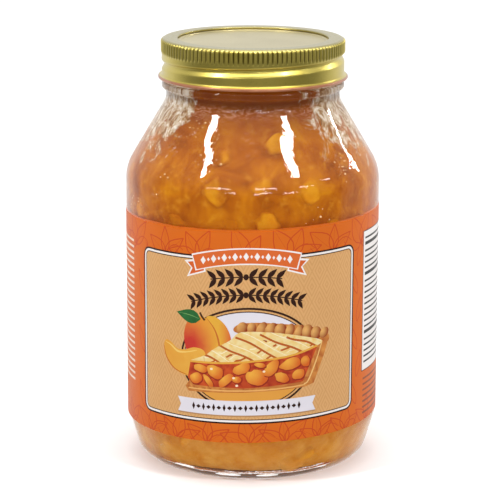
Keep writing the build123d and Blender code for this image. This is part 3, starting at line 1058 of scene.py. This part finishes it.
def print_peach(art):
    """A whole peach with a leaf, and a cut wedge in front of it."""
    middle, size = (-14.9, 57.4), 9.6
    gold = printed("E6AC38")

    def skin(across, up):
        x, y = (across - PICTURE - middle[0]) / size, (up - middle[1]) / size
        mottle = 0.12 * soft_noise(across, up, 0.5)
        colour = blend("E58B30", gold, 0.5 + 0.8 * x + mottle)
        return blend(colour, "CC3527", 1.35 - 1.15 * math.hypot(x + 0.80, y + 0.25) + mottle)

    def far_cheek(across, up):
        return blend(gold, "D9542A", 2.2 * ((across - PICTURE - middle[0]) / size - 0.55))

    outline = [(-15.5, 66.0), (-19.5, 66.6), (-23.3, 63.6), (-24.6, 58.0), (-22.8, 51.5), (-17.5, 47.9),
               (-11.0, 49.0), (-7.0, 52.8), (-5.6, 57.6), (-7.6, 63.0), (-11.6, 66.6)]
    cheek = [(-15.2, 66.2), (-11.6, 66.7), (-7.5, 63.2), (-5.5, 57.6), (-7.0, 52.8), (-11.0, 49.4),
             (-9.4, 55.5), (-11.5, 61.5)]
    art.add(soft_line(outline, closed=True), skin)
    art.add(soft_line(cheek, closed=True), far_cheek)
    art.curve([(-15.0, 66.0), (-11.6, 61.2), (-10.0, 54.6), (-11.3, 49.6)], 0.7, "CB6A26", taper=0.8)
    art.curve([(-17.8, 68.0), (-16.9, 66.4), (-15.8, 65.1)], 0.8, "4A2A16")
    sides = leaf_sides((-17.4, 65.4), 10.6, 6.0, 170)
    art.add(sides[0] + sides[1][::-1], clouded("2E7A3C", "1F5A2C", 0.5, 0.6, 0.8, 4.0))
    art.line(bow((-17.8, 65.4), (-27.0, 67.0), 0.5), 0.35, "6FA65E", taper=0.7)

    def flesh(across, up):
        x = (across - PICTURE + 34.5) / 16
        return blend("E2942A", "EBB045", 0.4 + 0.5 * x + 0.2 * soft_noise(across, up, 0.4))

    wedge = [(-34.3, 53.2), (-33.2, 55.5), (-30.6, 55.0), (-27.6, 52.9), (-24.0, 53.0), (-20.0, 54.2),
             (-16.0, 53.0), (-15.6, 48.0), (-18.5, 43.8), (-23.4, 42.8), (-29.4, 44.8), (-33.4, 49.0)]
    art.add(soft_line(wedge, closed=True), flesh)
    art.curve([(-33.4, 54.7), (-30.8, 53.9), (-27.6, 51.9), (-23.8, 52.0), (-19.0, 53.2)], 0.8, "F4CC6C",
              taper=0.8)
    art.curve([(-34.2, 53.0), (-33.0, 48.8), (-29.2, 44.9), (-23.2, 43.1)], 0.6, "CC6E1E", taper=0.6)


def print_pie(art):
    """A cut piece of pie seen from its side: crimped rim, woven top crust, fruit, and pastry below."""
    pastry = clouded("B05A24", "DE9444", 0.5, 0.9, 0.9, 2.0)
    art.add([(27.6, 53.4), (31.4, 57.8), (33.0, 55.6), (31.2, 50.0), (26.6, 39.2), (23.2, 38.2),
             (-22.6, 36.9), (-24.0, 38.8), (-21.8, 41.8)], pastry)
    art.curve([(30.0, 54.6), (27.4, 47.4), (24.2, 40.4), (22.4, 39.4)], 0.55, "F0C27A", taper=0.3)
    art.line(bow((-22.6, 38.2), (22.8, 39.0), -0.4), 0.5, "EDB468")

    face = [(-21.8, 48.7), (3.0, 49.6), (17.0, 50.8), (28.0, 53.4), (22.0, 40.4), (0.0, 39.2),
            (-20.6, 39.6), (-23.0, 42.2)]
    art.add(face, clouded("A0240F", "D4521C", 0.5, 0.9, 0.55, 7.0))
    for x, y, half_width, half_height, turn in (
            (-19.4, 42.4, 2.7, 2.0, 20), (-17.4, 46.2, 3.2, 1.5, -15), (-11.6, 45.4, 3.5, 2.5, -25),
            (-7.6, 42.2, 3.6, 1.6, 40), (-1.4, 46.9, 3.7, 2.0, 25), (3.8, 43.4, 4.6, 2.9, -10),
            (9.6, 46.6, 3.9, 2.2, 50), (17.2, 47.8, 4.3, 2.3, 12), (13.6, 42.9, 3.2, 1.9, -20),
            (20.2, 43.4, 2.8, 2.0, 10), (-14.4, 41.6, 3.0, 1.1, -60), (23.0, 48.2, 1.9, 2.3, 10),
            (-3.4, 42.6, 1.6, 1.3, 0), (5.4, 48.2, 2.2, 0.9, -10)):
        def uneven(grow, aside=0.0, drop=0.0):
            def swell(first, second, third):
                return 0.96 + 0.30 * noise.noise(Vector((first, second, third)))

            ring = ellipse((0, 0), half_width + grow, half_height + grow, 20, turn)
            return [(x + aside + a * swell(0.4 * a, 0.5 * b, x), y - drop + b * swell(0.5 * b, 0.4 * a, y))
                    for a, b in ring]

        art.add(uneven(0.25, 0.25, 0.3), "98280E", face)
        lit = (x - 0.35 * half_width, y + 0.3 * half_width)
        art.add(uneven(0.0), glowing("F5B843", "DA6216", *lit, half_width, half_width, 0.85), face)
    for place in ((-4.6, 43.2), (-3.4, 40.2), (6.8, 45.6), (-13.2, 46.4)):
        art.add(ellipse(place, 0.55, 0.45, 8), "FFE9C8", face)

    rim = [(-3.4, 60.8), (14.0, 59.4), (31.0, 54.2), (32.6, 57.6), (24.0, 61.6), (8.0, 64.4), (-2.4, 64.2)]
    art.add(soft_line(rim, closed=True), pastry)
    rng = random.Random(3)
    for index in range(10):
        share = index / 9
        x, y = -1.4 + 32.4 * share, 62.7 - 4.8 * share ** 1.4 + rng.uniform(-0.4, 0.4)
        half_width, half_height = rng.uniform(1.7, 2.5), rng.uniform(2.2, 3.2)
        art.add(ellipse((x, y), half_width, half_height, 14, rng.uniform(-55, 5)),
                glowing("F0B868", "96380F", x - 1.0, y + 1.0, 2.3, 3.0, 0.80, 1.3))

    top = soft_line([(-21.8, 48.6), (-15.6, 51.6), (-12.0, 54.4), (-6.0, 57.8), (-2.0, 61.0), (8.0, 60.8),
                     (18.0, 59.0), (29.6, 55.6), (27.8, 53.5), (17.0, 50.9), (3.0, 49.6), (-9.0, 48.8)],
                    closed=True, steps=4)
    crust = clouded("F3E0A6", "EFC46A", 0.45, 0.9, 0.6, 3.0)
    art.add(top, crust)
    for x, y, half_width in ((-10.4, 51.8, 1.6), (-2.2, 53.2, 2.2), (5.6, 57.0, 2.4), (8.6, 53.0, 1.8),
                             (16.4, 56.6, 2.2), (22.6, 54.6, 1.6), (-5.6, 56.2, 1.2)):
        art.add(ellipse((x, y), half_width, 0.8, 14, 8), "9C3A14", top)
    lower = (((-16.0, 49.6), (-2.0, 54.4)), ((-8.0, 49.2), (11.0, 57.0)), ((4.0, 50.2), (21.0, 58.0)),
             ((15.0, 51.4), (29.0, 56.6)))
    upper = (((-16.6, 54.0), (-6.0, 48.4)), ((-9.4, 57.6), (7.0, 49.2)), ((-3.4, 61.0), (16.0, 50.2)),
             ((6.0, 61.4), (25.0, 52.0)), ((16.0, 60.2), (30.0, 54.2)))
    for width, strips in ((2.3, lower), (2.9, upper)):
        for start, end in strips:
            path = [(x, y + 0.35 * math.sin(0.9 * (PICTURE + x) + y)) for x, y in bow(start, end, 0.4, 10)]
            art.line([(x - 0.1, y - 0.45) for x, y in path], width + 0.7, "BC5C1E", within=top)
            art.line(path, width, crust, within=top)
            art.line([(x, y + 0.28 * width) for x, y in path], 0.34, "FAEDC8", taper=0.5, within=top)
    art.curve([(-21.8, 48.7), (-9.0, 48.9), (3.0, 49.7), (17.0, 51.0), (28.0, 53.6)], 0.8, "E9A93E")


def print_ribbon(art):
    """Pale ribbon under the picture with a plain printed rule."""
    half, low, high = 27.4, 28.5, 34.2
    middle = 0.5 * (low + high)
    art.add(box(-half, low - 0.5, half, low), "B98C5E")
    art.add([(-half, low), (half, low), (half - 1.3, middle), (half, high), (-half, high),
             (1.3 - half, middle)], LILAC)
    for index in range(-10, 11):
        size = (0.62, 1.5) if index % 2 == 0 else (0.95, 0.8)
        art.add(diamond(2.05 * index, middle, *size), DARK)


# ---------------------------------------------------------------- label
LABEL_RADIUS = BODY + PAPER


def build_label():
    """The wrapped strip of printed paper, glued on a little crooked, with its lapped end at the back."""
    seam, half_lap = math.radians(LAP_AZIMUTH), math.radians(0.5 * LAP_ANGLE)
    start = LABEL_RADIUS * (seam - half_lap - 2 * math.pi)
    end = LABEL_RADIUS * (seam + half_lap)
    low, high = LABEL_LOW, LABEL_LOW + LABEL_HEIGHT
    art = Print(ORANGE)
    print_botanicals(art, low, high)
    print_side_boxes(art)
    art.shift = PICTURE
    for draw in (print_panel, print_medallion, print_laurel, print_banner, print_peach, print_pie,
                 print_ribbon):
        draw(art)
    across = int((end - start) / 2.4)
    columns = [start + (end - start) * i / across for i in range(across + 1)]
    rows = [low + LABEL_HEIGHT * i / 34 for i in range(35)]
    places, faces = art.cut(columns, rows)
    places = np.clip(places, (start, low), (end, high))
    colours = art.inks(places, faces)

    def wrapped(across, up, layer):
        azimuth = across / LABEL_RADIUS
        past = (across - end) / (LABEL_RADIUS * half_lap) + 2
        return polar(BODY + layer + 1.15 * PAPER * clamp(past), azimuth,
                     up + math.tan(LABEL_TILT) * LABEL_RADIUS * math.sin(azimuth))

    count = len(places)
    vertices = [wrapped(x, y, layer) for layer in (PAPER, 0.01) for x, y in places]
    sides = {pair for face in faces for pair in zip(face, face[1:] + face[:1])}
    rim = sorted((a, b) for a, b in sides if (b, a) not in sides)
    sheet = faces + [[count + i for i in face[::-1]] for face in faces]
    sheet += [[b, a, a + count, b + count] for a, b in rim]
    label = new_object("wrap_label", vertices, sheet, paper_material(), sharp_angle=40)
    colours += [ORANGE] * (len(label.data.loops) - len(colours))
    channels = [channel for colour in colours for channel in colour]
    add_values(label, "ink", channels, "FLOAT_COLOR", "CORNER", "color")
    flat = [value for x, y in places for value in (x, y, 0.0)]
    add_values(label, "sheet", flat + flat, "FLOAT_VECTOR", "POINT", "vector")
    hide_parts("label")
    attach(label, "jar")


# ---------------------------------------------------------------- studio
LIGHT_DISTANCE, LIGHT_AIM = 1.1, Vector((0, 0, 0.10))


def soft_light(name, azimuth, elevation, width, height, power):
    """Area light aimed at the jar, from this azimuth (front 0, right 90) and elevation in degrees."""
    data = bpy.data.lights.new(name, "AREA")
    data.shape = "RECTANGLE"
    data.size, data.size_y = width, height
    data.energy = power
    light = put(name, data)
    rise = math.radians(elevation)
    away = Vector(polar(math.cos(rise), math.radians(azimuth), math.sin(rise)))
    light.location = LIGHT_AIM + LIGHT_DISTANCE * away
    light.rotation_euler = (-away).to_track_quat("-Z", "Y").to_euler()
    return light


def build_floor():
    mesh = bpy.data.meshes.new("studio_floor")
    mesh.from_pydata([(x, y, 0) for x, y in box(-12.0, -12.0, 12.0, 12.0)], [], [[0, 1, 2, 3]])
    mesh.materials.append(floor_material())
    floor = put("studio_floor", mesh)
    floor.location.z = -0.0002
    floor.visible_glossy = False


def build_world():
    """Pale surroundings, darker low in front so that metal and glass have something to mirror."""
    world = bpy.data.worlds.new("studio")
    world.use_nodes = True
    sky = Nodes(world.node_tree)
    _, deep, height = sky.parts(sky.node("ShaderNodeTexCoord").outputs["Generated"])
    above = sky.math("MAXIMUM", sky.span(height, 0.0, 1.1), sky.span(deep, -0.1, 0.55))
    most = sky.math("MAXIMUM", above, sky.span(height, -0.60, -0.95))
    background = sky.tree.nodes["Background"].inputs
    sky.tree.links.new(sky.mix(most, (0.23, 0.23, 0.21, 1), (1.0, 1.0, 1.0, 1)), background[0])
    background[1].default_value = 0.95
    bpy.context.scene.world = world


def build_lights():
    """Two windows and a strip that streak the shoulder, a row of far ones, and an even light from above."""
    soft_light("left_window", -55, 44, 0.11, 0.22, 4.5)
    soft_light("centre_window", 47, 46, 0.13, 0.16, 3.5)
    soft_light("right_strip", 116, 22, 0.04, 0.24, 1.4)
    shine = [soft_light("high_window", 0, 66, 0.60, 0.16, 3.0)]
    tall = 0.035
    for index, (azimuth, elevation, width) in enumerate((
            (-30, 21, 0.28), (-21, 12, 0.20), (15, 21, 0.30), (8, 12, 0.15), (34, 12, 0.15),
            (47, 20, 0.18), (70, 26, 0.14))):
        shine.append(soft_light("far_window_%d" % index, azimuth, elevation, width, tall, 45 * width * tall))
    for light in shine:
        light.visible_diffuse = False
    sun = bpy.data.lights.new("overhead", "SUN")
    sun.energy = 1.2
    sun.angle = math.radians(70)
    put("overhead", sun)


def build_camera():
    """Camera in front and above, at the angle from which the jar was seen."""
    data = bpy.data.cameras.new("camera")
    data.sensor_width = 36.0
    data.lens = 156.5
    data.clip_start = 0.05
    data.clip_end = 50.0
    camera = put("camera", data)
    pitch, roll = math.radians(13.63), math.radians(0.21)
    place = Matrix.Translation((-0.0009, -0.8289, 0.2816))
    camera.matrix_world = place @ Matrix.Rotation(math.pi / 2 - pitch, 4, "X") @ Matrix.Rotation(roll, 4, "Z")
    bpy.context.scene.camera = camera


bpy.context.scene.view_settings.view_transform = "Standard"
build_glass()
build_gel()
build_peaches()
build_heel_glints()
build_bubbles()
build_band()
build_disc()
dress_seal()
build_label()
build_floor()
build_world()
build_lights()
build_camera()
